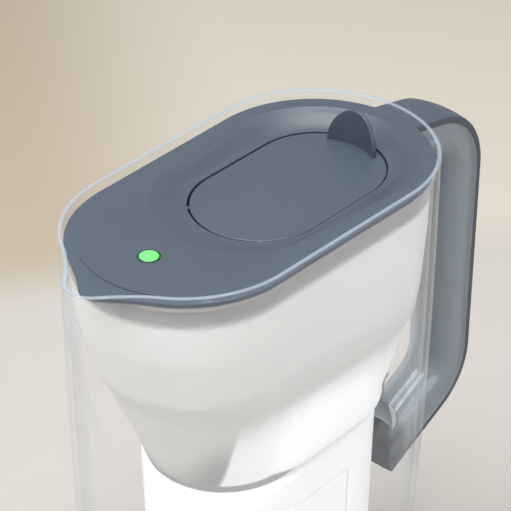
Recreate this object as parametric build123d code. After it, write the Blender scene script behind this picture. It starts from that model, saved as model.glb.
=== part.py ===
from build123d import *
import os
from math import asin, atan2, cos, sin, radians, sqrt

os.makedirs("parts", exist_ok=True)

# Water filter pitcher: a clear jug with a moulded handle channel, a hanging funnel with a filter
# cartridge, and a recessed lid with a hinged filling flap and a change indicator.
# Millimetres. +Z up, spout towards -X, handle towards +X, origin at the middle of the base.
# Plan outlines are hulls round circles that stand on the X axis, each given as (x, radius).

# ---- jug ----
rim_height = 270.0          # base to rim
front_x, front_r = -36.5, 51.2      # plan circles at the rim
rear_x, rear_r = 43.3, 52.5
waist_height = 150.0
waist_draft = 0.7           # the walls stand this much further in than at the rim
waist_rear_forward = 0.5    # and the rear circle this much nearer the front
lower_height = 70.0
lower_front_x, lower_front_r = -36.0, 49.0
lower_rear_x, lower_rear_r = 40.0, 49.8
base_front_x, base_front_r = -34.5, 46.5
base_rear_x, base_rear_r = 34.5, 46.5
base_rounding = 16.0
jug_wall = 2.6
rim_wall = 1.8
jug_floor = 3.2
ledge_depth = 7.8           # rim down to the ledge that carries the funnel
# ---- spout ----
spout_tip_x = -100.5
spout_r = 12.0
spout_hollow = 95.0         # radius of the drawn-in sides between the tip and the front circle
spout_wall = 2.0
spout_straight = 22.0       # the tip drops straight this far, then runs back into the wall
spout_end_depth = 82.0
# ---- handle ----
handle_width = 25.4
handle_depth = 19.0         # channel edge to finger side
channel_wall = 2.4
handle_back_x = 143.6       # channel edge of the upright
handle_top_drop = 9.6       # rim to channel edge at the wall
handle_top_slope = 0.22
handle_foot_depth = 193.0   # rim to channel edge at the lower root
handle_foot_rise = 25.5     # the lower leg rises this much towards the upright
handle_foot_reach = 4.0     # the lower leg starts this much further inside than the upper one
handle_top_bend = 34.0
handle_foot_bend = 28.0
channel_rounding = 12.0     # finger side
insert_side = 3.1           # insert stands this far above the channel edge
insert_crown = 4.5
insert_rounding = 0.8
insert_wall = 2.2
insert_leg = 7.5
fit_gap = 0.25              # clearance of pressed-in covers
blend = 0.4                 # joined shapes run into each other by up to this much
over = 1.0                  # cuts run past their faces by this much
# ---- funnel ----
seat_gap = 0.2              # vertical play where one piece rests on another
funnel_wall = 1.8
flange_thick = 1.6
flange_gap = 0.4            # flange edge to rim wall
collar_gap = 1.2            # funnel to jug wall below the ledge
deck_depth = 119.0          # rim to the top of the deck that the cartridge stands in
deck_thick = 2.0
chamber_depth = 200.0       # rim to the underside of the chamber floor
chamber_front_x, chamber_rear_x, chamber_r = -14.5, 29.5, 37.0
chamber_taper = 1.5
shoulder_rounding = 3.5
hopper_rows = (             # rim down to the row; front circle back and in; rear circle forward and in
    (35.0, 0.6, 0.8, 0.4, 0.4),
    (60.0, 3.5, 3.6, 1.0, 1.6),
    (74.0, 7.2, 7.4, 0.5, 3.7),
    (84.0, 6.6, 11.4, 0.0, 8.7),
    (98.0, 12.3, 12.6, 1.0, 10.7))
neck_groove = 2.6           # the hopper meets the chamber this far inside its wall
neck_sink = 0.5             # and runs this far into its top
neck_front, neck_rear = 1.0, 1.5
cheek_start, cheek_end = 84.0, 117.5    # rim to the top and to the lip of the swelling
cheek_front_x, cheek_rear_x = -4.0, 30.0
cheek_top_r, cheek_lip_r = 36.6, 39.8
cheek_rows = (              # share of the way down, share of the swelling
    (0.0, 0.0), (0.15, 0.53), (0.35, 0.81), (0.6, 0.96), (0.8, 1.0), (1.0, 1.0))
cheek_lean = 4.0            # its ends stand this much closer at the top
cheek_rounding = 2.4
drain_slot_width = 4.6
drain_corner = 0.8
drain_edge = 1.7            # slot end to the chamber wall
drain_pitch = 11.0
drain_count = 7
# ---- filter cartridge ----
filter_front_x, filter_rear_x, filter_r = -17.0, 32.0, 25.4
filter_gap = 0.6            # cartridge to deck opening
filter_flange = 2.6
filter_flange_thick = 1.6
filter_wall = 1.4
filter_depth = 190.0        # rim to the underside of the cartridge
filter_floor = 1.6
filter_taper = 1.4
filter_slot_width, filter_slot_length, filter_slot_pitch, filter_slot_count = 3.0, 30.0, 9.0, 7
screen_thick = 0.6
cap_edge_inset = 0.6        # cap edge inside the cartridge flange
cap_rim_thick = 2.0
cap_plug_depth = 3.0        # cap reaches into the cartridge
cap_plug_wall = 1.4
cap_wall = 2.0              # measured level
cap_top_thick = 1.2
cap_height = 14.0
cap_dome_step = 1.0         # dome starts this far inside the cap's edge
cap_top_r = 17.0
cap_top_shrink = 3.0        # top circles stand this much closer than the cartridge's
cap_top_rounding = 3.0
cap_slot_width, cap_slot_length, cap_slot_pitch, cap_slot_count = 2.4, 22.0, 6.0, 9
loop_r, loop_band, loop_width = 14.0, 3.4, 6.0
loop_sink = 2.0             # loop's feet run into the top
# ---- lid ----
lid_drop = 3.8              # rim to the lid's top
lid_thick = 1.9
lid_gap = 0.5               # lid edge to rim wall
lid_nose_tip_x = -93.4
lid_nose_r = 9.0
lid_hollow = 95.0           # radius of the drawn-in edge beside the nose
lid_edge_rounding = 0.5
spout_step_inset = 6.7      # front circle of the rim to the step over the spout
spout_step_angle = 52.0     # the step runs this far round from the spout, each way
spout_step_drop = 0.35
skirt_gap = 0.4             # lid skirt to funnel collar
skirt_wall = 1.6
skirt_depth = 15.0          # rim to the skirt's lower edge
dish_front_r = 39.5
dish_rear_x, dish_rear_r = 43.5, 44.5
dish_wall_spread = 0.6      # the bowl's underside stands this far outside its hollow
dish_drop = 5.6             # lid top down to the flap's recess
collar_wall = 1.6
collar_depth = 19.0         # rim to the lower edge of the filling collar
# ---- flap ----
flap_front_x, flap_rear_x, flap_r = 7.2, 44.6, 29.0
flap_gap = 0.6              # round the sides and the rear
flap_front_gap = 1.2        # at the hinged end
flap_thick = 2.2
flap_edge_rounding = 0.6
flap_sink = 0.2             # flap top below the recess edge
flap_rest_width = 3.4       # ledge under the flap
flap_rest_thick = 1.8
flap_rest_start_x = -5.0
hinge_x = -14.5
hinge_drop = 0.8            # flap top to hinge axis
pin_r = 0.7                 # stub pins on the flap's edge
pin_clearance = 0.05
pin_root_y = 16.0
ear_inner_y = 21.2          # bosses under the dish that hold the pins
ear_outer_y = 25.0
ear_r = 2.1
pin_reach = 2.4             # pin length inside the boss
pin_end_gap = 0.3
swing_relief_y = 17.5       # the recess edge is relieved from here to the boss
swing_relief_r = 1.5
tab_r = 25.4                # plan radius of the thumb tab's middle
tab_thick = 2.0
tab_half_width = 13.0
tab_height = 16.6
tab_rounding = 0.5
rib_front_x, rib_rear_x = -10.5, 58.5
rib_height = 1.2
rib_thick = 1.4
rib_y = 9.0
# ---- change indicator ----
led_inset = 17.9            # front of the case to the lamp
lens_r = 4.4
lens_gap = 0.4
lens_proud = 0.3
lens_rounding = 0.5
light_guide_r = 2.8
light_guide_end = 9.4       # rim to the foot of the light guide
case_front_gap = 0.3        # pocket's front corners to the lid's skirt
case_rear_gap = 1.5         # case to the edge of the dish
case_length = 29.5
case_half_width = 17.0
case_corner = 4.5
case_wall = 1.6
case_depth = 17.8           # rim to the lower edge of the case
cover_thick = 1.8
pocket_wall = 1.4
pocket_depth = 12.0
board_top = 12.0            # rim to the board's upper face
board_thick = 1.2
board_gap = 0.5
led_length, led_width, led_base = 3.6, 2.8, 1.0
led_dome, led_dome_r = 0.7, 1.1
chip_inset, chip_y = 5.65, 5.5          # rear of the case to the chip's middle
chip_length, chip_width, chip_high = 4.7, 5.0, 1.5
tilt_inset, tilt_y = 8.0, -4.5          # front of the case to the switch's middle
tilt_length, tilt_width, tilt_high = 6.0, 4.0, 3.0
cell_shift = 1.75           # cell behind the middle of the case
cell_y, cell_r, cell_thick = -5.0, 10.0, 3.2
cell_step, cell_step_in = 0.6, 1.3      # lower pole: height and inset
part_gap = 0.3
clip_gap = 0.4              # clip to the cell's edge
clip_thick = 0.5
clip_width = 6.0
button_inset, button_y, button_r = 16.0, 10.5, 3.4
button_flange_r = 4.6
button_flange_thick = 1.0
button_stem_r = 2.0
button_rounding = 0.6
button_travel = 0.8
button_rest_gap = 0.1       # left over the stem at full travel
button_proud = 0.7
switch_size, switch_high = 6.0, 1.8
screw_r, screw_head_r, screw_head = 0.98, 1.8, 1.2
screw_length = 7.0
screw_head_gap, screw_end_gap, thread_gap = 0.1, 1.0, 0.02
boss_r = 2.0
boss_inset = 3.7            # case edge to the middle of a screw
seal_edge, seal_width, seal_high = 0.2, 1.2, 0.9

# ---- worked out from the sizes above ----
beyond = 2 * (handle_back_x + handle_depth)     # cutting blocks reach past everything
skirt_inset = jug_wall + collar_gap + funnel_wall + skirt_gap
case_reach = front_r - skirt_inset - skirt_wall - pocket_wall - fit_gap - case_front_gap - case_corner
case_x0 = front_x - sqrt(case_reach ** 2 - (case_half_width - case_corner) ** 2) - case_corner
case_x1 = case_x0 + case_length
led_x = case_x0 + led_inset
button_x = case_x0 + button_inset
cell_x = (case_x0 + case_x1) / 2 + cell_shift
dish_front_x = case_x1 + case_rear_gap + dish_front_r
ledge_z = rim_height - ledge_depth
flange_z = ledge_z + seat_gap
lid_top = rim_height - lid_drop
lid_under = lid_top - lid_thick
recess_top = lid_top - dish_drop
flap_top = recess_top - flap_sink
flap_under = flap_top - flap_thick
rest_top = flap_under - seat_gap
hinge_z = flap_top - hinge_drop
deck_top = rim_height - deck_depth
deck_under = deck_top - deck_thick
chamber_z = rim_height - chamber_depth
filter_middle = (filter_front_x + filter_rear_x) / 2
collar_inset = jug_wall + collar_gap
case_z = rim_height - case_depth
board_z = rim_height - board_top
cover_top = case_z - seal_high


def inset(circle, amount):
    return (circle[0], circle[1] - amount)


def straight_side(a, b):
    """Points where the common tangent of two circles leaves the first and meets the second."""
    (xa, ra), (xb, rb) = a, b
    lean = asin((rb - ra) / (xb - xa))
    return [(x - r * sin(lean), r * cos(lean)) for x, r in (a, b)]


def hollow_side(a, b, hollow):
    """Start, middle and end of the drawn-in arc of radius hollow that touches both circles."""
    (xa, ra), (xb, rb) = a, b
    along = ((hollow + ra) ** 2 - (hollow + rb) ** 2 + (xb - xa) ** 2) / (2 * (xb - xa))
    cx, cy = xa + along, sqrt((hollow + ra) ** 2 - along ** 2)
    start, end = [(x + (cx - x) * r / (hollow + r), cy * r / (hollow + r)) for x, r in (a, b)]
    toward = atan2((start[1] + end[1]) / 2 - cy, (start[0] + end[0]) / 2 - cx)
    return start, (cx + hollow * cos(toward), cy + hollow * sin(toward)), end


def hull(z, *circles, hollow=0.0):
    """Outline at height z round circles (x, radius) listed from the spout to the handle.
    With hollow, the sides between the first two are drawn-in arcs of that radius."""
    tangents = [straight_side(a, b) for a, b in zip(circles, circles[1:])]
    if hollow:
        start, middle, end = hollow_side(circles[0], circles[1], hollow)
        tangents[0] = [start, end]

    def arc(circle, start, end, side):
        x, r = circle
        a = atan2(start[1], start[0] - x)
        b = atan2(end[1], end[0] - x)
        m = (a + b) / 2
        mid = (x + r * cos(m), side * r * sin(m), z)
        return Edge.make_three_point_arc((start[0], side * start[1], z), mid, (end[0], side * end[1], z))

    def end_arc(circle, tangent, direction):
        x, r = circle
        tip = (x + direction * r, 0, z)
        return Edge.make_three_point_arc((*tangent, z), tip, (tangent[0], -tangent[1], z))

    edges = [end_arc(circles[0], tangents[0][0], -1), end_arc(circles[-1], tangents[-1][1], 1)]
    for side in (1, -1):
        for i, (start, end) in enumerate(tangents):
            ends = [(x, side * y, z) for x, y in (start, end)]
            if hollow and i == 0:
                edges.append(Edge.make_three_point_arc(ends[0], (middle[0], side * middle[1], z), ends[1]))
            else:
                edges.append(Edge.make_line(*ends))
        for circle, before, after in zip(circles[1:-1], tangents, tangents[1:]):
            edges.append(arc(circle, before[1], after[0], side))
    return Face(Wire(Wire.combine(edges)[0].edges()))


def prism(z0, z1, *circles, hollow=0.0):
    return extrude(hull(z0, *circles, hollow=hollow), z1 - z0, dir=(0, 0, 1))


def lofted(levels, amount=0.0, ruled=False, hollow=0.0):
    """Solid through outlines given as (z, circle, circle, ...), each circle drawn in by amount."""
    side = hollow + amount if hollow else 0.0
    outlines = [hull(z, *[inset(c, amount) for c in circles], hollow=side) for z, *circles in levels]
    return loft(outlines, ruled=ruled)


def slab(z0, z1):
    """Everything between two heights."""
    return block(-beyond, beyond, -beyond, beyond, z0, z1)


def mix(a, b, share):
    return tuple(p + (q - p) * share for p, q in zip(a, b))


def cylinder(x, y, z0, z1, r):
    return extrude(Plane.XY.offset(z0) * Pos(x, y) * Circle(r), z1 - z0, dir=(0, 0, 1))


def cross_cylinder(x, z, y0, y1, r):
    """Cylinder along Y."""
    plane = Plane(origin=(x, y0, z), x_dir=(1, 0, 0), z_dir=(0, 1, 0))
    return extrude(plane * Circle(r), y1 - y0)


def block(x0, x1, y0, y1, z0, z1):
    return Pos((x0 + x1) / 2, (y0 + y1) / 2, (z0 + z1) / 2) * Box(x1 - x0, y1 - y0, z1 - z0)


def rounded_block(x0, x1, half_width, z0, z1, corner):
    sketch = Pos((x0 + x1) / 2, 0) * RectangleRounded(x1 - x0, 2 * half_width, corner)
    return extrude(Plane.XY.offset(z0) * sketch, z1 - z0, dir=(0, 0, 1))


rim_circles = ((front_x, front_r), (rear_x, rear_r))
nose_circle = (spout_tip_x + spout_r, spout_r)


def body_levels(floor):
    """Jug outlines from the given floor height to the rim."""
    base = ((base_front_x, base_front_r), (base_rear_x, base_rear_r))
    lower = ((lower_front_x, lower_front_r), (lower_rear_x, lower_rear_r))
    waist = ((front_x, front_r - waist_draft), (rear_x - waist_rear_forward, rear_r - waist_draft))
    start = [mix(a, b, floor / lower_height) for a, b in zip(base, lower)]
    return [(floor, *start), (lower_height, *lower), (waist_height, *waist), (rim_height, *rim_circles)]


def body(floor, amount, rounding):
    solid = lofted(body_levels(floor), amount)
    return fillet(solid.faces().sort_by(Axis.Z)[0].edges(), rounding)


def spout(amount):
    """Pointed front that runs back into the wall below the rim."""
    wall_x = front_x - front_r
    steps = ((0.0, 0.0, 0.3), (spout_straight, 0.0, 0.3), (spout_straight + 22, 0.36, 0.5),
             (spout_end_depth - 18, 0.74, 0.9), (spout_end_depth, 1.05, 1.5))
    levels = []
    for depth, share, sink in steps:
        tip = spout_tip_x + (wall_x - spout_tip_x) * share
        levels.append((rim_height - depth, (tip + spout_r, spout_r), (front_x, front_r - sink)))
    upper = lofted(levels[:2], amount, ruled=True, hollow=spout_hollow)
    return upper + lofted(levels[1:], amount, hollow=spout_hollow)


def jug_cavity():
    cavity = body(jug_floor, jug_wall, base_rounding - jug_wall)
    rim = prism(ledge_z, rim_height + over, *[inset(c, rim_wall) for c in rim_circles])
    lip = prism(rim_height - over, rim_height + over, inset(nose_circle, spout_wall),
                inset(rim_circles[0], spout_wall), hollow=spout_hollow + spout_wall)
    return cavity + rim + spout(spout_wall) + lip


def handle_path():
    """Channel edge from inside the upper wall round to inside the lower wall."""
    wall_x = rear_x + rear_r - jug_wall - over
    reach = handle_back_x - wall_x
    top = rim_height - handle_top_drop
    foot = rim_height - handle_foot_depth
    points = ((wall_x, 0, top), (handle_back_x, 0, top - handle_top_slope * reach),
              (handle_back_x, 0, foot + handle_foot_rise), (wall_x - handle_foot_reach, 0, foot))
    return FilletPolyline(*points, radius=[handle_top_bend, handle_foot_bend])


def along_handle(sketch):
    """Sweep a section: X across the handle, +Y away from the fingers, 0 at the channel edge."""
    path = handle_path()
    start = Plane(origin=path @ 0, x_dir=(0, 1, 0), z_dir=path % 0)
    return sweep(start * sketch, path=path)


def channel_section(width, depth, rounding, above):
    rect = Pos(0, (above - depth) / 2) * Rectangle(width, depth + above)
    return fillet(rect.vertices().group_by(Axis.Y)[0], rounding)


def jug():
    cavity = jug_cavity()
    shell = body(0, 0, base_rounding) + spout(0) - cavity
    channel = along_handle(channel_section(handle_width, handle_depth, channel_rounding, 0))
    groove = along_handle(channel_section(handle_width - 2 * channel_wall, handle_depth - channel_wall,
                                          channel_rounding - channel_wall, over))
    return shell + (channel - groove - cavity)


def handle_insert():
    half = handle_width / 2
    side = Polyline((-half, insert_side), (-half, fit_gap), (half, fit_gap), (half, insert_side))
    crown = ThreePointArc((half, insert_side), (0, insert_crown), (-half, insert_side))
    section = make_face(side + crown)
    section = fillet(section.vertices().filter_by(lambda v: v.Y > insert_side - fit_gap), insert_rounding)
    inner = half - channel_wall - fit_gap
    for sign in (1, -1):
        leg = Pos(sign * (inner - insert_wall / 2), (fit_gap * 2 - insert_leg) / 2)
        section += leg * Rectangle(insert_wall, insert_leg + fit_gap * 2)
    levels = body_levels(0)
    return along_handle(section) - lofted(levels, -part_gap)


def hopper_levels():
    """Funnel outlines from the ledge to the deck: wide and steep, then drawn in to the neck."""
    front, rear = [inset(c, collar_inset) for c in rim_circles]
    levels = [(rim_height - ledge_depth, front, rear)]
    for depth, front_back, front_in, rear_forward, rear_in in hopper_rows:
        levels.append((rim_height - depth, (front[0] + front_back, front[1] - front_in),
                       (rear[0] - rear_forward, rear[1] - rear_in)))
    neck = chamber_r - neck_groove
    levels.append((deck_under - neck_sink, (chamber_front_x - neck_front, neck),
                   (chamber_rear_x + neck_rear, neck + neck_rear)))
    return levels


def cheek_levels():
    """Swelling low on both sides of the hopper, over a rounded lower lip."""
    levels = []
    for share, swell in cheek_rows:
        z = rim_height - cheek_start - (cheek_end - cheek_start) * share
        lean = cheek_lean * (1 - share)
        r = cheek_top_r + (cheek_lip_r - cheek_top_r) * swell
        levels.append((z, (cheek_front_x + lean, r), (cheek_rear_x - lean, r)))
    return levels[::-1]


def chamber_levels():
    top = ((chamber_front_x, chamber_r), (chamber_rear_x, chamber_r))
    foot = [inset(c, chamber_taper) for c in top]
    return [(chamber_z, *foot), (deck_under, *top)]


def filter_circles(extra):
    return ((filter_front_x, filter_r + extra), (filter_rear_x, filter_r + extra))


def slot_row(middle, z, thick, pitch, count, length, width, clear_of=-beyond, clear_by=0):
    """Row of slots along X through a floor; those at clear_of from the middle are left out."""
    slots = []
    for i in range(count):
        offset = (i - (count - 1) / 2) * pitch
        if abs(abs(offset) - clear_of) > clear_by:
            slot = Rot(0, 0, 90) * SlotOverall(length, width)
            slots.append(extrude(Pos(middle + offset, 0, z - over) * slot, thick + 2 * over, dir=(0, 0, 1)))
    return slots


def drains():
    """Cross slots through the chamber floor, each as long as the round-ended floor allows."""
    middle = (chamber_front_x + chamber_rear_x) / 2
    straight = (chamber_rear_x - chamber_front_x) / 2
    floor_r = chamber_r - chamber_taper - funnel_wall - drain_edge
    slots = []
    for i in range(drain_count):
        offset = (i - (drain_count - 1) / 2) * drain_pitch
        past = max(0.0, abs(offset) + drain_slot_width / 2 - straight)
        slot = RectangleRounded(drain_slot_width, 2 * sqrt(floor_r ** 2 - past ** 2), drain_corner)
        slot = Pos(middle + offset, 0, chamber_z - over) * slot
        slots.append(extrude(slot, funnel_wall + 2 * over, dir=(0, 0, 1)))
    return slots


def funnel():
    flange_top = flange_z + flange_thick
    flange = prism(flange_z, flange_top, *[inset(c, rim_wall + flange_gap) for c in rim_circles])
    collar = prism(flange_z - seat_gap, flange_top, *[inset(c, collar_inset) for c in rim_circles])
    chamber = lofted(chamber_levels(), ruled=True)
    chamber = fillet(chamber.faces().sort_by(Axis.Z)[-1].edges(), shoulder_rounding)
    cheeks = lofted(cheek_levels(), ruled=True)
    cheeks = fillet(cheeks.faces().sort_by(Axis.Z)[0].edges(), cheek_rounding)
    solid = flange + collar + lofted(hopper_levels(), ruled=True) + cheeks + chamber
    levels = hopper_levels()
    mouth = (rim_height, *levels[0][1:])
    hopper_void = lofted([mouth] + levels, funnel_wall, ruled=True) & slab(deck_top, rim_height)
    chamber_void = lofted(chamber_levels(), funnel_wall, ruled=True)
    roof = deck_under - funnel_wall
    chamber_void = chamber_void & slab(chamber_z + funnel_wall, roof)
    opening = prism(roof - over, deck_top + over, *filter_circles(filter_gap))
    return solid - hopper_void - chamber_void - opening - drains()


def filter_levels():
    top = filter_circles(0)
    return [(rim_height - filter_depth, *[inset(c, filter_taper) for c in top]), (deck_top, *top)]


def filter_body():
    flange_base = deck_top + seat_gap
    foot = rim_height - filter_depth
    rim = prism(flange_base, flange_base + filter_flange_thick, *filter_circles(filter_flange))
    cup = lofted(filter_levels(), ruled=True) + prism(deck_top, flange_base, *filter_circles(0)) + rim
    void = lofted(filter_levels(), filter_wall, ruled=True) & slab(foot + filter_floor, deck_top)
    mouth = prism(deck_top - over, flange_base + filter_flange_thick + over, *filter_circles(-filter_wall))
    slots = slot_row(filter_middle, foot, filter_floor, filter_slot_pitch, filter_slot_count,
                     filter_slot_length, filter_slot_width)
    return cup - void - mouth - slots


def inner_bed(z0, z1, gap):
    return prism(z0, z1, *filter_circles(-(filter_wall + filter_taper + gap)))


def filter_bottom_screen():
    floor = rim_height - filter_depth + filter_floor
    return inner_bed(floor, floor + screen_thick, part_gap)


def filter_media():
    floor = rim_height - filter_depth + filter_floor + screen_thick
    return inner_bed(floor, deck_top - 2 * screen_thick, part_gap)


def filter_top_screen():
    return inner_bed(deck_top - 2 * screen_thick, deck_top - screen_thick, part_gap)


def filter_cap():
    base = deck_top + seat_gap + filter_flange_thick
    edge = filter_circles(filter_flange - cap_edge_inset)
    foot = [inset(c, cap_dome_step) for c in edge]
    crown = ((filter_front_x + cap_top_shrink, cap_top_r), (filter_rear_x - cap_top_shrink, cap_top_r))
    top = base + cap_height
    plug_circles = filter_circles(-(filter_wall + fit_gap))
    rim = prism(base, base + cap_rim_thick, *edge)
    plug = prism(base - cap_plug_depth, base, *plug_circles)
    dome = lofted([(base + cap_rim_thick, *foot), (top, *crown)], ruled=True)
    dome = fillet(dome.faces().sort_by(Axis.Z)[-1].edges(), cap_top_rounding)
    void = lofted([(base + cap_rim_thick - over, *foot), (top - cap_top_thick, *crown)], cap_wall, ruled=True)
    well = prism(base - cap_plug_depth - over, base + cap_rim_thick + over,
                 *[inset(c, cap_plug_wall) for c in plug_circles])
    slots = slot_row(filter_middle, top - cap_top_thick, cap_top_thick, cap_slot_pitch, cap_slot_count,
                     cap_slot_length, cap_slot_width, clear_of=loop_r,
                     clear_by=(loop_band + cap_slot_width) / 2)
    ring_z = top - loop_sink
    ring = cross_cylinder(filter_middle, ring_z, -loop_width / 2, loop_width / 2, loop_r + loop_band / 2)
    ring -= cross_cylinder(filter_middle, ring_z, -loop_width, loop_width, loop_r - loop_band / 2)
    ring &= slab(ring_z, ring_z + 2 * loop_r)
    return rim + plug + dome - void - well - slots + ring


def lid_plate():
    """The lid's edge follows the jug's rim and runs out over the spout with its own nose."""
    nose = (lid_nose_tip_x + lid_nose_r, lid_nose_r)
    edge = [inset(c, rim_wall + lid_gap) for c in rim_circles]
    plate = prism(lid_under, lid_top, nose, *edge, hollow=lid_hollow)
    return fillet(plate.faces().sort_by(Axis.Z)[-1].edges(), lid_edge_rounding) - spout_step()


def spout_step():
    """Shallow ramp over the spout: its round inner edge is deepest in the middle and fades at its ends."""
    inner_r = front_r - spout_step_inset
    end_x = front_x - inner_r * cos(radians(spout_step_angle))
    far_x = end_x - beyond
    drop = spout_step_drop / (end_x - front_x + inner_r)
    ramp = Polyline((end_x, lid_top), (far_x, lid_top - drop * beyond), (far_x, lid_top + over),
                    (end_x, lid_top + over), close=True)
    ramp = extrude(Plane.XZ * make_face(ramp), beyond, both=True)
    return ramp - cylinder(front_x, 0, lid_under, lid_top + 2 * over, inner_r)


def recess_circles(extra):
    return ((flap_front_x - flap_front_gap + flap_gap, flap_r + flap_gap + extra),
            (flap_rear_x, flap_r + flap_gap + extra))


def dish(drop, spread, rise):
    """Soft-edged bowl from the lid's top down to the flap's recess; its mouth is raised by rise."""
    outer = ((dish_front_x, dish_front_r), (dish_rear_x, dish_rear_r))
    inner = recess_circles(0)
    steps = ((0.0, 0.0), (0.16, 0.05), (0.36, 0.24), (0.6, 0.62), (0.8, 0.9), (1.0, 1.0))
    levels = []
    for across, down in steps:
        circles = [inset(mix(a, b, across), -spread) for a, b in zip(outer, inner)]
        z = lid_top - drop - dish_drop * down
        levels.append((z if down else z + rise, *circles))
    return lofted(levels[::-1], ruled=True)


def on_hinge(near_y, far_y, r):
    """Round pieces on the hinge axis, one on each side."""
    return [cross_cylinder(hinge_x, hinge_z, *sorted((side * near_y, side * far_y)), r) for side in (1, -1)]


def hinge_cuts():
    """Bores for the flap's pins, and the relief that lets the flap's front corners swing."""
    bores = on_hinge(ear_inner_y - over, ear_inner_y + pin_reach + pin_end_gap, pin_r + pin_clearance)
    return bores + on_hinge(swing_relief_y, ear_inner_y, swing_relief_r)


def lid():
    bowl = dish(lid_thick, dish_wall_spread, blend)
    skirt = prism(rim_height - skirt_depth, lid_under, *[inset(c, skirt_inset) for c in rim_circles])
    skirt -= prism(rim_height - skirt_depth - over, lid_under,
                   *[inset(c, skirt_inset + skirt_wall) for c in rim_circles])
    collar = prism(rim_height - collar_depth, recess_top - blend / 2, *recess_circles(collar_wall))
    pocket = rounded_block(case_x0 - fit_gap - pocket_wall, case_x1 + fit_gap + pocket_wall,
                           case_half_width + fit_gap + pocket_wall, rim_height - pocket_depth, lid_under,
                           case_corner + pocket_wall)
    pocket -= rounded_block(case_x0 - fit_gap, case_x1 + fit_gap, case_half_width + fit_gap,
                            rim_height - pocket_depth - over, lid_under, case_corner)
    bosses = on_hinge(ear_inner_y, ear_outer_y, ear_r)
    solid = lid_plate() + bowl + skirt + collar + pocket + bosses - dish(0, 0, over)
    solid -= prism(rim_height - collar_depth - over, lid_top + over, *recess_circles(0))
    rest = prism(rest_top - flap_rest_thick, rest_top, *recess_circles(blend / 2))
    rest -= prism(rest_top - flap_rest_thick - over, rest_top + over, *recess_circles(-flap_rest_width))
    rest -= block(-beyond, flap_rest_start_x, -beyond, beyond, 0, rim_height)
    solid = solid + rest - hinge_cuts()
    return solid - cylinder(led_x, 0, lid_under - over, lid_top + over, lens_r + lens_gap)


def thumb_tab():
    """Upright fin with a rounded top, curved in plan about the flap's rear circle."""
    top = flap_top + tab_height + over
    ring = cylinder(flap_rear_x, 0, flap_top - blend, top, tab_r + tab_thick / 2)
    ring -= cylinder(flap_rear_x, 0, flap_top - 2 * blend, top + over, tab_r - tab_thick / 2)
    front = Plane(origin=(flap_rear_x, 0, flap_top), x_dir=(0, 1, 0), z_dir=(1, 0, 0))
    fin = extrude(front * Ellipse(tab_half_width, tab_height), tab_r + tab_thick)
    tab = ring & fin & slab(flap_top - blend, top)
    upper = tab.edges().filter_by(lambda e: e.bounding_box().max.Z > flap_top + tab_height / 2)
    return fillet(upper, tab_rounding)


def flip_lid():
    plate = prism(flap_under, flap_top, (flap_front_x, flap_r), (flap_rear_x, flap_r))
    plate = fillet(plate.faces().sort_by(Axis.Z)[-1].edges(), flap_edge_rounding)
    solid = plate + on_hinge(pin_root_y, ear_inner_y + pin_reach, pin_r)
    for y in (rib_y, -rib_y):
        solid += block(rib_front_x, rib_rear_x, y - rib_thick / 2, y + rib_thick / 2,
                       flap_under - rib_height, flap_under + blend / 2)
    return solid + thumb_tab()


def indicator_lens():
    head = cylinder(led_x, 0, lid_under, lid_top + lens_proud, lens_r)
    head = fillet(head.faces().sort_by(Axis.Z)[-1].edges(), lens_rounding)
    return head + cylinder(led_x, 0, rim_height - light_guide_end, lid_under, light_guide_r)


def case_corners():
    """Places of the four screws and their bosses."""
    reach = case_half_width - boss_inset
    return [(x, y) for x in (case_x0 + boss_inset, case_x1 - boss_inset) for y in (reach, -reach)]


def indicator_housing():
    solid = rounded_block(case_x0, case_x1, case_half_width, case_z, lid_under, case_corner)
    solid -= rounded_block(case_x0 + case_wall, case_x1 - case_wall, case_half_width - case_wall,
                           case_z - over, lid_under - case_wall, case_corner - case_wall)
    solid -= cylinder(led_x, 0, case_z, lid_under + over, light_guide_r + lens_gap)
    for x, y in case_corners():
        solid += cylinder(x, y, case_z, lid_under - case_wall + blend / 2, boss_r)
        solid -= cylinder(x, y, case_z - over, case_z + screw_length, screw_r + thread_gap)
    return solid


def indicator_cover():
    under = cover_top - cover_thick
    solid = rounded_block(case_x0, case_x1, case_half_width, under, cover_top, case_corner)
    solid -= cylinder(button_x, button_y, under - over, cover_top + over, button_r + part_gap)
    for x, y in case_corners():
        solid -= cylinder(x, y, under - over, cover_top + over, screw_r + part_gap)
        solid -= cylinder(x, y, under - over, under + screw_head, screw_head_r + part_gap)
    return solid


def indicator_seal():
    ring = rounded_block(case_x0 + seal_edge, case_x1 - seal_edge, case_half_width - seal_edge,
                         cover_top, case_z, case_corner - seal_edge)
    inner = seal_edge + seal_width
    return ring - rounded_block(case_x0 + inner, case_x1 - inner, case_half_width - inner, cover_top - over,
                                case_z + over, case_corner - inner)


def indicator_board():
    gap = case_wall + board_gap
    solid = rounded_block(case_x0 + gap, case_x1 - gap, case_half_width - gap, board_z - board_thick, board_z,
                          case_corner - gap)
    for x, y in case_corners():
        solid -= cylinder(x, y, board_z - board_thick - over, board_z + over, boss_r + part_gap)
    return solid


def on_board(x, y, length, width, high):
    """Block of a part that stands on the board's upper face, centred on x, y."""
    return block(x - length / 2, x + length / 2, y - width / 2, y + width / 2, board_z, board_z + high)


def indicator_led():
    base = on_board(led_x, 0, led_length, led_width, led_base)
    return base + cylinder(led_x, 0, board_z + led_base, board_z + led_base + led_dome, led_dome_r)


def controller_chip():
    return on_board(case_x1 - chip_inset, chip_y, chip_length, chip_width, chip_high)


def tilt_switch():
    return on_board(case_x0 + tilt_inset, tilt_y, tilt_length, tilt_width, tilt_high)


def button_switch():
    under = board_z - board_thick
    middle = Pos(button_x, button_y, under - switch_high / 2)
    return middle * Box(switch_size, switch_size, switch_high)


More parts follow.
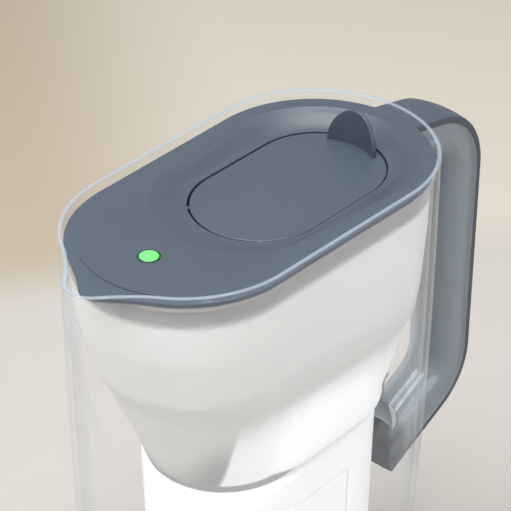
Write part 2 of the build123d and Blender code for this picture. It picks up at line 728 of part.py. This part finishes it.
def coin_cell():
    """Wide case with the smaller can of the other pole under it."""
    top = board_z - board_thick - part_gap
    under = top - cell_thick
    return (cylinder(cell_x, cell_y, under + cell_step, top, cell_r)
            + cylinder(cell_x, cell_y, under, under + cell_step, cell_r - cell_step_in))


def battery_clip():
    top = board_z - board_thick
    under = top - 2 * part_gap - cell_thick
    reach = cell_r + clip_gap
    strip = block(cell_x - reach - clip_thick, cell_x + reach + clip_thick, cell_y - clip_width / 2,
                  cell_y + clip_width / 2, under - clip_thick, top)
    return strip - block(cell_x - reach, cell_x + reach, cell_y - clip_width, cell_y + clip_width,
                         under, top + over)


def reset_button():
    switch_under = board_z - board_thick - switch_high
    top = switch_under - button_travel - button_rest_gap
    flange = cover_top + part_gap
    cap = cylinder(button_x, button_y, cover_top - cover_thick - button_proud, flange, button_r)
    cap = fillet(cap.faces().sort_by(Axis.Z)[0].edges(), button_rounding)
    cap += cylinder(button_x, button_y, flange, flange + button_flange_thick, button_flange_r)
    return cap + cylinder(button_x, button_y, flange + button_flange_thick, top, button_stem_r)


def cover_screws():
    under = cover_top - cover_thick
    head_top = under + screw_head - screw_head_gap
    screws = []
    for x, y in case_corners():
        head = cylinder(x, y, under, head_top, screw_head_r)
        screws.append(head + cylinder(x, y, head_top, case_z + screw_length - screw_end_gap, screw_r))
    return Compound(children=screws)


pieces = {
    "jug": jug, "handle_insert": handle_insert, "funnel": funnel,
    "filter_body": filter_body, "filter_cap": filter_cap, "filter_media": filter_media,
    "filter_top_screen": filter_top_screen, "filter_bottom_screen": filter_bottom_screen,
    "lid": lid, "flip_lid": flip_lid,
    "indicator_lens": indicator_lens, "indicator_housing": indicator_housing,
    "indicator_cover": indicator_cover, "indicator_seal": indicator_seal,
    "indicator_board": indicator_board, "indicator_led": indicator_led,
    "controller_chip": controller_chip, "tilt_switch": tilt_switch, "button_switch": button_switch,
    "coin_cell": coin_cell, "battery_clip": battery_clip, "reset_button": reset_button,
    "cover_screws": cover_screws,
}

for node, make in pieces.items():
    export_step(make(), f"parts/{node}.step")
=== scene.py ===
from math import radians, tan

import bpy
from mathutils import Matrix, Vector


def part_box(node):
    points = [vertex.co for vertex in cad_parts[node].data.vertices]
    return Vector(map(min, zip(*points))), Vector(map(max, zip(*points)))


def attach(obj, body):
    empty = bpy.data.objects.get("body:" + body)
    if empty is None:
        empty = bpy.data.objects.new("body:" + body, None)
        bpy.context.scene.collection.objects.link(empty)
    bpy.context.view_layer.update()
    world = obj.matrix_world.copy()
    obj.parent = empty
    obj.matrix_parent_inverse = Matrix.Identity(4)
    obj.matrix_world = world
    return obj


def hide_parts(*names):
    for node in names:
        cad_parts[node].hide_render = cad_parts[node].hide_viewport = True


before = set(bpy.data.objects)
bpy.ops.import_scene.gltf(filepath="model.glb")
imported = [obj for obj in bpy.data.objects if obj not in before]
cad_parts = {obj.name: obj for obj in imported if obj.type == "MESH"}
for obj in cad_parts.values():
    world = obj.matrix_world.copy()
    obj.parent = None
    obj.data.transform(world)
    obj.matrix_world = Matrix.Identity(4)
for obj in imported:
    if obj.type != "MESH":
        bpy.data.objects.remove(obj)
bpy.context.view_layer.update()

# ---- the photograph's camera, in metres and degrees, in the jug's own frame ----
camera_place = (-0.542175, -0.484139, 0.718947)
camera_azimuth = -48.482
camera_elevation = 33.5
camera_focal_px = 2100.0
photo_px = 511.0
sensor_mm = 36.0

# ---- sizes of the visible finish, in metres ----
rim_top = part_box("jug")[1].z
rim_edge_round = 0.0005
rim_edge_steps = 3
lid_skirt_foot = 0.255      # lower edge of the lid's skirt, which shows through the funnel's collar

# ---- the handle's channel, in metres: its edge line in X, Z and the section of its filling ----
channel_start = (0.0922, 0.2604)
channel_corner_high = (0.1436, 0.2491)
channel_corner_low = (0.1436, 0.1025)
channel_end = (0.0882, 0.0770)
channel_bend_high, channel_bend_low = 0.034, 0.028
filling_half_width = 0.01003
filling_top, filling_foot = 0.0002, -0.01635
filling_rounding = 0.00935
filling_wall_high, filling_wall_low = 0.0962, 0.0917     # where it meets the jug's wall
bend_steps = 16
painted_reflection_start = 0.097  # the clear channel gets a painted reflection, a pale blue veil over its filling, from here on

# ---- the label frame on the near side of the funnel's chamber, in metres ----
label_left, label_right = -0.0215, 0.0250
label_foot, label_head = 0.090, 0.1295
label_corner = 0.002
label_line, label_depth = 0.0005, 0.0004
chamber_head, chamber_foot = (-0.037, 0.149), (-0.0355, 0.070)    # Y, Z of the wall's two ends

# ---- colours, linear ----
blue_grey = (0.044, 0.060, 0.080)
# painted light: the handle filling's blue-grey, made far lighter than the lid's to stand in for light seen through
# the clear channel
painted_light_blue_grey = (0.40, 0.46, 0.51)
# painted reflection: pale blue veil laid on the clear channel over the filling
channel_painted_reflection = (0.55, 0.62, 0.68)
clear_face = (0.985, 0.995, 1.0)
clear_edge = (0.80, 0.88, 0.94)
rim_blue = (0.42, 0.50, 0.57)
frost_high = (0.615, 0.61, 0.60)
# painted light: whiter milky colour laid on the funnel's swelling and its chamber
frost_painted_light = (0.83, 0.84, 0.85)
# painted shade: dark milky colour laid in the funnel's neck groove and the hollow where its swelling begins
frost_painted_shade = (0.36, 0.37, 0.365)
shell_white = (0.78, 0.785, 0.79)
lamp_green = (0.16, 0.94, 0.17)
lamp_body = (0.08, 0.42, 0.09)
# painted shade: dark colour of the lens's edge where it meets its seat
lamp_ring_painted_shade = (0.01, 0.06, 0.015)
floor_pale = (0.43, 0.40, 0.378)
wall_light = (0.478, 0.444, 0.385)
# painted shade: the wall band's colour at its darker left end
wall_painted_shade = (0.364, 0.315, 0.242)
sky_pale = (0.84, 0.84, 0.84)


# ---- small helpers ----
def only(*objects):
    """Select these objects and nothing else."""
    bpy.ops.object.select_all(action="DESELECT")
    for o in objects:
        o.select_set(True)
    bpy.context.view_layer.objects.active = objects[0]


def joined_copy(node, name, smooth_degrees=28.0):
    """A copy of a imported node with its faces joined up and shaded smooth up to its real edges."""
    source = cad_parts[node]
    piece = bpy.data.objects.new(name, source.data.copy())
    bpy.context.scene.collection.objects.link(piece)
    piece.data.materials.clear()
    only(piece)
    bpy.ops.mesh.customdata_custom_splitnormals_clear()
    bpy.ops.object.mode_set(mode="EDIT")
    bpy.ops.mesh.select_all(action="SELECT")
    bpy.ops.mesh.remove_doubles(threshold=1e-6)
    bpy.ops.object.mode_set(mode="OBJECT")
    bpy.ops.object.shade_smooth_by_angle(angle=radians(smooth_degrees))
    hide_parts(node)
    return piece


def round_rim(piece):
    """Round the two edges of the jug's rim."""
    only(piece)
    bpy.ops.object.mode_set(mode="EDIT")
    bpy.ops.mesh.select_all(action="DESELECT")
    bpy.ops.mesh.select_mode(type="EDGE")
    bpy.ops.mesh.edges_select_sharp(sharpness=radians(60.0))
    bpy.ops.object.mode_set(mode="OBJECT")
    points = piece.data.vertices
    for edge in piece.data.edges:
        at_rim = all(points[i].co.z > rim_top - 1e-5 for i in edge.vertices)
        edge.select = edge.select and at_rim
    bpy.ops.object.mode_set(mode="EDIT")
    bpy.ops.mesh.bevel(offset=rim_edge_round, segments=rim_edge_steps, affect="EDGES")
    bpy.ops.mesh.select_mode(type="VERT")
    bpy.ops.object.mode_set(mode="OBJECT")
    bpy.ops.object.shade_smooth_by_angle(angle=radians(35.0))


def plane_piece(name, place, across, up, width, height):
    """Flat sheet of its own mesh, centred on place, its sides along across and up."""
    turn = Matrix((across, up, Vector(across).cross(Vector(up)))).transposed()
    bpy.ops.mesh.primitive_plane_add(size=1.0, location=place, rotation=turn.to_euler())
    piece = bpy.context.object
    piece.name = name
    piece.scale = (width, height, 1.0)
    bpy.ops.object.transform_apply(location=True, rotation=True, scale=True)
    return piece


def pick(piece, test):
    """Select the points of a piece that pass the test, and leave it in edit mode."""
    bpy.ops.object.mode_set(mode="EDIT")
    bpy.ops.mesh.select_mode(type="VERT")
    bpy.ops.mesh.select_all(action="DESELECT")
    bpy.ops.object.mode_set(mode="OBJECT")
    for point in piece.data.vertices:
        point.select = test(point.co)
    bpy.ops.object.mode_set(mode="EDIT")


def push(step):
    bpy.ops.mesh.extrude_region_move(TRANSFORM_OT_translate={"value": step})


def unit(a, b):
    """Direction from a to b, points given as X, Z."""
    return Vector((b[0] - a[0], 0, b[1] - a[1])).normalized()


def handle_filling():
    """Body of the handle's cover, which fills the clear channel: a section carried along the channel's line."""
    first = unit(channel_start, channel_corner_high)
    middle = unit(channel_corner_high, channel_corner_low)
    last = unit(channel_corner_low, channel_end)
    outward = Vector((-first.z, 0, first.x))
    start = Vector((channel_start[0], 0, channel_start[1]))
    piece = plane_piece("handle_filling", start + outward * (filling_top + filling_foot) / 2, (0, 1, 0), outward,
                        2 * filling_half_width, filling_top - filling_foot)
    only(piece)
    pick(piece, lambda p: (p - start).dot(outward) < (filling_top + filling_foot) / 2)
    bpy.ops.mesh.bevel(offset=filling_rounding, segments=10, affect="VERTICES")
    bpy.ops.mesh.select_all(action="SELECT")
    bpy.ops.mesh.delete(type="ONLY_FACE")
    bpy.ops.mesh.select_all(action="SELECT")
    at = start
    for corner, ahead, after, bend in ((channel_corner_high, first, middle, channel_bend_high),
                                       (channel_corner_low, middle, last, channel_bend_low)):
        turn = ahead.angle(after)
        corner = Vector((corner[0], 0, corner[1]))
        bend_start = corner - ahead * bend * tan(turn / 2)
        push(bend_start - at)
        inward = Vector((ahead.z, 0, -ahead.x))
        bpy.ops.mesh.spin(steps=bend_steps, angle=turn, center=bend_start + inward * bend, axis=(0, 1, 0))
        at = corner + after * bend * tan(turn / 2)
    push(Vector((channel_end[0], 0, channel_end[1])) - at)
    half_way = (channel_corner_high[1] + channel_corner_low[1]) / 2
    for wall_x, high in ((filling_wall_high, True), (filling_wall_low, False)):
        bpy.ops.object.mode_set(mode="OBJECT")
        pick(piece, lambda p: (p.z > half_way) == high)
        bpy.ops.mesh.bisect(plane_co=(wall_x, 0, 0), plane_no=(1, 0, 0), use_fill=True, clear_inner=True)
    bpy.ops.mesh.select_all(action="SELECT")
    bpy.ops.mesh.normals_make_consistent(inside=False)
    bpy.ops.object.mode_set(mode="OBJECT")
    bpy.ops.object.shade_smooth_by_angle(angle=radians(35.0))
    return piece


def engrave_label(funnel):
    """Thin line of the label frame, cut into the near wall of the chamber."""
    up = Vector((0, chamber_head[0] - chamber_foot[0], chamber_head[1] - chamber_foot[1])).normalized()
    outward = Vector((0, -up.z, up.y))
    share = ((label_foot + label_head) / 2 - chamber_foot[1]) / (chamber_head[1] - chamber_foot[1])
    wall_y = chamber_foot[0] + (chamber_head[0] - chamber_foot[0]) * share
    middle = Vector(((label_left + label_right) / 2, wall_y, (label_foot + label_head) / 2))
    cutter = plane_piece("label_cutter", middle + outward * label_depth, (1, 0, 0), up,
                         label_right - label_left, label_head - label_foot)
    only(cutter)
    pick(cutter, lambda p: True)
    bpy.ops.mesh.bevel(offset=label_corner, segments=5, affect="VERTICES")
    bpy.ops.mesh.select_mode(type="FACE")
    bpy.ops.mesh.select_all(action="SELECT")
    bpy.ops.mesh.inset(thickness=label_line, depth=0.0)
    bpy.ops.mesh.delete(type="FACE")
    bpy.ops.mesh.select_all(action="SELECT")
    push(-2 * label_depth * outward)
    bpy.ops.mesh.select_all(action="SELECT")
    bpy.ops.mesh.normals_make_consistent(inside=False)
    bpy.ops.object.mode_set(mode="OBJECT")
    only(funnel)
    cut = funnel.modifiers.new("label frame", "BOOLEAN")
    cut.operation, cut.object, cut.solver = "DIFFERENCE", cutter, "EXACT"
    bpy.ops.object.modifier_apply(modifier=cut.name)
    bpy.data.objects.remove(cutter, do_unlink=True)
    bpy.ops.object.shade_smooth_by_angle(angle=radians(28.0))


def finished(piece, body, material):
    piece.data.materials.clear()
    piece.data.materials.append(material)
    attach(piece, body)
    return piece


# ---- materials ----
class Nodes:
    """Short way to write a node tree down."""

    def __init__(self, tree):
        self.tree = tree

    def add(self, kind, **settings):
        node = self.tree.nodes.new(kind)
        for key, value in settings.items():
            setattr(node, key, value)
        return node

    def set(self, node, **values):
        for key, value in values.items():
            node.inputs[key.replace("_", " ")].default_value = value
        return node

    def link(self, source, target):
        self.tree.links.new(source, target)


def value_group(name, inputs, outputs):
    """Empty shader group with float inputs (name, default) and named float outputs."""
    tree = bpy.data.node_groups.new(name, "ShaderNodeTree")
    tree.interface.new_socket("Position", in_out="INPUT", socket_type="NodeSocketVector")
    for label, default in inputs:
        tree.interface.new_socket(label, in_out="INPUT", socket_type="NodeSocketFloat").default_value = default
    for label in outputs:
        tree.interface.new_socket(label, in_out="OUTPUT", socket_type="NodeSocketFloat")
    n = Nodes(tree)
    return n, n.add("NodeGroupInput"), n.add("NodeGroupOutput")


def make_moulding_group():
    """Fine spark-eroded grain of a moulded surface and the slow sheen changes across it."""
    n, inside, outside = value_group("moulded surface", [("Grain size", 900.0), ("Sheen size", 14.0)],
                                     ["Grain", "Sheen"])
    grain = n.set(n.add("ShaderNodeTexNoise"), Detail=3.0, Roughness=0.6)
    sheen = n.set(n.add("ShaderNodeTexNoise"), Detail=2.0, Roughness=0.5)
    for texture, size, out in ((grain, "Grain size", "Grain"), (sheen, "Sheen size", "Sheen")):
        n.link(inside.outputs["Position"], texture.inputs["Vector"])
        n.link(inside.outputs[size], texture.inputs["Scale"])
        n.link(texture.outputs["Fac"], outside.inputs[out])
    return n.tree


def new_material(name):
    material = bpy.data.materials.new(name)
    material.use_nodes = True
    n = Nodes(material.node_tree)
    return material, n, material.node_tree.nodes["Principled BSDF"]


moulding = make_moulding_group()


def mapped(n, source, low, high):
    """source from 0..1 to low..high."""
    node = n.add("ShaderNodeMapRange")
    node.inputs["To Min"].default_value = low
    node.inputs["To Max"].default_value = high
    n.link(source, node.inputs["Value"])
    return node.outputs["Result"]


def tinted(n, factor, dark, light):
    node = n.add("ShaderNodeMix", data_type="RGBA")
    n.link(factor, node.inputs["Factor"])
    node.inputs["A"].default_value = (*dark, 1)
    node.inputs["B"].default_value = (*light, 1)
    return node.outputs["Result"]


def moulded(name, colour, rough, grain_height=0.00003, grain_size=900.0, spread=0.05):
    """Opaque moulded plastic."""
    material, n, shader = new_material(name)
    where = n.add("ShaderNodeTexCoord")
    surface = n.add("ShaderNodeGroup", node_tree=moulding)
    surface.inputs["Grain size"].default_value = grain_size
    n.link(where.outputs["Object"], surface.inputs["Position"])
    darker = tuple(c * (1 - spread) for c in colour)
    lighter = tuple(c * (1 + spread) for c in colour)
    n.link(tinted(n, surface.outputs["Sheen"], darker, lighter), shader.inputs["Base Color"])
    n.link(mapped(n, surface.outputs["Sheen"], rough - 0.03, rough + 0.05), shader.inputs["Roughness"])
    bump = n.set(n.add("ShaderNodeBump"), Strength=0.35, Distance=grain_height)
    n.link(surface.outputs["Grain"], bump.inputs["Height"])
    n.link(bump.outputs["Normal"], shader.inputs["Normal"])
    return material


def soft_step(n, vector, axis, low, high):
    """Mask that goes softly from 0 at low to 1 at high along one axis of a position; low may be the larger."""
    parts = n.add("ShaderNodeSeparateXYZ")
    n.link(vector, parts.inputs["Vector"])
    step = n.add("ShaderNodeMapRange", interpolation_type="SMOOTHSTEP")
    step.inputs["From Min"].default_value = low
    step.inputs["From Max"].default_value = high
    n.link(parts.outputs[axis], step.inputs["Value"])
    return step.outputs["Result"]


def combined(n, operation, *masks):
    result = masks[0]
    for mask in masks[1:]:
        node = n.add("ShaderNodeMath", operation=operation)
        n.link(result, node.inputs[0])
        n.link(mask, node.inputs[1])
        result = node.outputs[0]
    return result


def blended(n, factor, base, colour):
    """colour laid over the base socket by factor."""
    node = n.add("ShaderNodeMix", data_type="RGBA")
    n.link(factor, node.inputs["Factor"])
    n.link(base, node.inputs["A"])
    node.inputs["B"].default_value = (*colour, 1)
    return node.outputs["Result"]


def clear_plastic(name, bend, rough, shadow_alpha):
    """Clear moulded plastic, pale blue at its rim and where it is seen edge on, with a painted reflection as a
    pale blue veil over the handle's channel; lamps shine through most of it.
    """
    material, n, shader = new_material(name)
    n.set(shader, IOR=bend, Coat_IOR=1.45, Coat_Roughness=0.02)
    where = n.add("ShaderNodeTexCoord")
    surface = n.add("ShaderNodeGroup", node_tree=moulding)
    n.link(where.outputs["Object"], surface.inputs["Position"])
    n.link(mapped(n, surface.outputs["Sheen"], rough * 0.5, rough * 1.5), shader.inputs["Roughness"])
    facing = n.set(n.add("ShaderNodeLayerWeight"), Blend=0.5)
    steep = n.add("ShaderNodeMath", operation="POWER")
    n.link(facing.outputs["Facing"], steep.inputs[0])
    steep.inputs[1].default_value = 4.0
    rim = soft_step(n, where.outputs["Object"], "Z", rim_top - 0.0007, rim_top - 0.0002)
    body = tinted(n, steep.outputs[0], clear_face, clear_edge)
    # painted reflection: over the handle's channel the clear plastic turns partly milky pale blue, and its coat is
    # made stronger
    channel = soft_step(n, where.outputs["Object"], "X", painted_reflection_start, painted_reflection_start + 0.006)
    body = blended(n, channel, body, channel_painted_reflection)
    n.link(blended(n, rim, body, rim_blue), shader.inputs["Base Color"])
    n.link(combined(n, "MULTIPLY", mapped(n, rim, 1.0, 0.62), mapped(n, channel, 1.0, 0.80)),
           shader.inputs["Transmission Weight"])
    n.link(mapped(n, channel, 0.5, 1.0), shader.inputs["Coat Weight"])
    path = n.add("ShaderNodeLightPath")
    n.link(mapped(n, path.outputs["Is Shadow Ray"], 1.0, shadow_alpha), shader.inputs["Alpha"])
    return material


def frosted_plastic(name, rough, milky, thin):
    """Milky moulding that is clearer in its thin collar, so the lid's skirt shows through. Painted light makes it
    whitest in the swelling and the chamber, and painted shade makes it darkest in the neck's groove and where the
    swelling begins."""
    material, n, shader = new_material(name)
    n.set(shader, IOR=1.3)
    where = n.add("ShaderNodeTexCoord")
    surface = n.add("ShaderNodeGroup", node_tree=moulding)
    n.link(where.outputs["Object"], surface.inputs["Position"])
    at = where.outputs["Object"]
    # painted light: the swelling's slope and the chamber are given the whiter milky colour
    swelling = combined(n, "MULTIPLY", soft_step(n, at, "Z", 0.196, 0.174), soft_step(n, at, "Z", 0.1525, 0.1535),
                        soft_step(n, at, "X", -0.0445, -0.0425))
    chamber = soft_step(n, at, "Z", 0.1495, 0.1485)
    # painted shade: the neck's groove and the hollow before the swelling are given the dark milky colour
    groove = combined(n, "MULTIPLY", soft_step(n, at, "Z", 0.1485, 0.1495), soft_step(n, at, "Z", 0.1535, 0.1525))
    hollow_painted_shade = combined(n, "MULTIPLY", soft_step(n, at, "Z", 0.190, 0.160), soft_step(n, at, "Z", 0.1525, 0.1535),
                      soft_step(n, at, "X", -0.057, -0.046), soft_step(n, at, "X", -0.0425, -0.0445))
    milk_with_painted_light = tinted(n, combined(n, "MAXIMUM", swelling, chamber), frost_high, frost_painted_light)
    n.link(blended(n, combined(n, "MAXIMUM", groove, hollow_painted_shade), milk_with_painted_light, frost_painted_shade), shader.inputs["Base Color"])
    collar = soft_step(n, at, "Z", lid_skirt_foot - 0.0045, lid_skirt_foot + 0.0005)
    n.link(mapped(n, collar, milky, thin), shader.inputs["Transmission Weight"])
    sheen = mapped(n, surface.outputs["Sheen"], 0.93, 1.07)
    n.link(combined(n, "MULTIPLY", mapped(n, collar, rough, 0.5 * rough), sheen), shader.inputs["Roughness"])
    bump = n.set(n.add("ShaderNodeBump"), Strength=0.25, Distance=0.00002)
    n.link(surface.outputs["Grain"], bump.inputs["Height"])
    n.link(bump.outputs["Normal"], shader.inputs["Normal"])
    path = n.add("ShaderNodeLightPath")
    n.link(mapped(n, path.outputs["Is Shadow Ray"], 1.0, 0.55), shader.inputs["Alpha"])
    return material


def glowing_lens(name):
    """Green light guide, brightest in its middle, with painted shade as a dark edge where it sits in its seat."""
    material, n, shader = new_material(name)
    n.set(shader, Roughness=0.25, Emission_Strength=0.36)
    where = n.add("ShaderNodeTexCoord")
    centre = n.add("ShaderNodeMapping")
    low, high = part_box("indicator_lens")
    centre.inputs["Location"].default_value = (-(low.x + high.x) / 2, -(low.y + high.y) / 2, -high.z)
    n.link(where.outputs["Object"], centre.inputs["Vector"])
    reach = n.add("ShaderNodeVectorMath", operation="LENGTH")
    n.link(centre.outputs["Vector"], reach.inputs[0])
    share = n.add("ShaderNodeMath", operation="DIVIDE")
    n.link(reach.outputs["Value"], share.inputs[0])
    share.inputs[1].default_value = (high.x - low.x) / 2
    # painted shade: near its rim the lens turns dark, in its glow and its colour
    edge = n.add("ShaderNodeMapRange", interpolation_type="SMOOTHSTEP")
    edge.inputs["From Min"].default_value = 0.84
    edge.inputs["From Max"].default_value = 0.93
    n.link(share.outputs[0], edge.inputs["Value"])
    glow = n.add("ShaderNodeMix", data_type="RGBA")
    n.link(edge.outputs["Result"], glow.inputs["Factor"])
    n.link(tinted(n, share.outputs[0], (0.42, 1.0, 0.36), lamp_green), glow.inputs["A"])
    glow.inputs["B"].default_value = (*lamp_ring_painted_shade, 1)
    n.link(glow.outputs["Result"], shader.inputs["Emission Color"])
    n.link(tinted(n, edge.outputs["Result"], lamp_body, lamp_ring_painted_shade), shader.inputs["Base Color"])
    return material


def steel(name, colour=(0.60, 0.60, 0.59)):
    material, n, shader = new_material(name)
    n.set(shader, Base_Color=(*colour, 1), Metallic=1.0)
    where = n.add("ShaderNodeTexCoord")
    surface = n.add("ShaderNodeGroup", node_tree=moulding)
    surface.inputs["Sheen size"].default_value = 700.0
    n.link(where.outputs["Object"], surface.inputs["Position"])
    n.link(mapped(n, surface.outputs["Sheen"], 0.2, 0.4), shader.inputs["Roughness"])
    return material


satin = moulded("satin blue-grey plastic", blue_grey, 0.42)
# painted light: a lighter copy of the satin blue-grey, for the filling seen through the channel
satin_with_painted_light = moulded("satin blue-grey plastic behind the channel", painted_light_blue_grey, 0.42)
clear = clear_plastic("clear jug plastic with painted reflection on its channel", 1.0, 0.01, 0.10)
frosted = frosted_plastic("frosted funnel plastic with painted light and shade", 0.45, 0.12, 0.65)
shell = moulded("white cartridge plastic", shell_white, 0.35)
granules = moulded("filter granules", (0.12, 0.11, 0.10), 0.8, 0.0004, 500.0, 0.5)
mesh_white = moulded("fine filter mesh", (0.72, 0.72, 0.70), 0.8, 0.0001, 1500.0)
seal_rubber = moulded("seal rubber", (0.07, 0.07, 0.072), 0.7)
laminate = moulded("board laminate", (0.02, 0.13, 0.06), 0.35)
black_part = moulded("black moulded parts", (0.02, 0.02, 0.02), 0.4)
diode = moulded("clear diode", (0.75, 0.85, 0.70), 0.2)
lens_material = glowing_lens("glowing lens with painted shade at its edge")
nickel = steel("nickel cell case")
spring_steel = steel("spring steel", (0.55, 0.52, 0.46))

looks = {
    "jug": ("jug", "jug", clear), "handle_insert": ("jug", "handle_insert", satin),
    "funnel": ("funnel", "funnel", frosted),
    "filter_body": ("filter", "filter_shell", shell), "filter_cap": ("filter", "filter_shell", shell),
    "filter_media": ("filter", "filter_media", granules),
    "filter_top_screen": ("filter", "filter_screen", mesh_white),
    "filter_bottom_screen": ("filter", "filter_screen", mesh_white),
    "lid": ("lid", "lid", satin), "flip_lid": ("flap", "flip_lid", satin),
    "indicator_lens": ("lid", "indicator_lens", lens_material),
    "indicator_housing": ("lid", "indicator_case", shell), "indicator_cover": ("lid", "indicator_case", shell),
    "indicator_seal": ("lid", "indicator_seal", seal_rubber),
    "indicator_board": ("lid", "indicator_board", laminate), "indicator_led": ("lid", "indicator_led", diode),
    "controller_chip": ("lid", "board_parts", black_part), "tilt_switch": ("lid", "board_parts", black_part),
    "button_switch": ("lid", "board_parts", black_part), "coin_cell": ("lid", "coin_cell", nickel),
    "battery_clip": ("lid", "battery_clip", spring_steel), "reset_button": ("button", "reset_button", seal_rubber),
    "cover_screws": ("lid", "cover_screws", nickel),
}
made = {}
for node, (body, slot, material) in looks.items():
    made[node] = finished(joined_copy(node, node + "_finished"), body, material)

round_rim(made["jug"])
engrave_label(made["funnel"])
filling = finished(handle_filling(), "jug", satin_with_painted_light)
only(made["handle_insert"], filling)
bpy.ops.object.join()


# ---- stage, light and camera ----
def floor_material():
    """Pale matt floor that turns beige past the line where the photograph's wall begins."""
    material, n, shader = new_material("pale floor with painted shade on its wall band")
    n.set(shader, Roughness=0.9, Specular_IOR_Level=0.1)
    where = n.add("ShaderNodeTexCoord")
    turned = n.add("ShaderNodeMapping")
    turned.inputs["Rotation"].default_value = (0, 0, radians(36.5))
    n.link(where.outputs["Object"], turned.inputs["Vector"])
    at = turned.outputs["Vector"]
    # painted shade: the beige wall band darkens towards its left end
    wall = tinted(n, soft_step(n, at, "X", -0.06, 0.12), wall_painted_shade, wall_light)
    n.link(blended(n, soft_step(n, at, "Y", 0.385, 0.315), wall, floor_pale), shader.inputs["Base Color"])
    return material


bpy.ops.mesh.primitive_plane_add(size=12.0, location=(0, 0, 0))
floor = bpy.context.object
floor.name = "floor"
floor.data.materials.append(floor_material())


def area_light(name, place, target, size, watts):
    bpy.ops.object.light_add(type="AREA", location=place)
    lamp = bpy.context.object
    lamp.name = name
    lamp.data.shape = "DISK"
    lamp.data.size = size
    lamp.data.energy = watts
    direction = Vector(target) - Vector(place)
    lamp.rotation_euler = direction.to_track_quat("-Z", "Y").to_euler()


area_light("overhead softbox", (-0.15, 0.0, 1.5), (0, 0, 0.15), 1.2, 28.0)
area_light("spout side softbox", (-1.3, 0.3, 0.9), (0, 0, 0.15), 0.9, 8.0)
area_light("near fill", (0.3, -1.4, 0.8), (0, 0, 0.15), 1.2, 8.0)

world = bpy.data.worlds.new("studio")
bpy.context.scene.world = world
world.use_nodes = True
sky = world.node_tree.nodes["Background"]
sky.inputs["Color"].default_value = (*sky_pale, 1)
sky.inputs["Strength"].default_value = 0.62

bpy.ops.object.camera_add(location=camera_place,
                          rotation=(radians(90 - camera_elevation), 0, radians(camera_azimuth)))
camera = bpy.context.object
camera.data.sensor_width = sensor_mm
camera.data.lens = camera_focal_px / photo_px * sensor_mm
camera.data.clip_end = 20.0
bpy.context.scene.camera = camera
bpy.context.scene.view_settings.view_transform = "Standard"
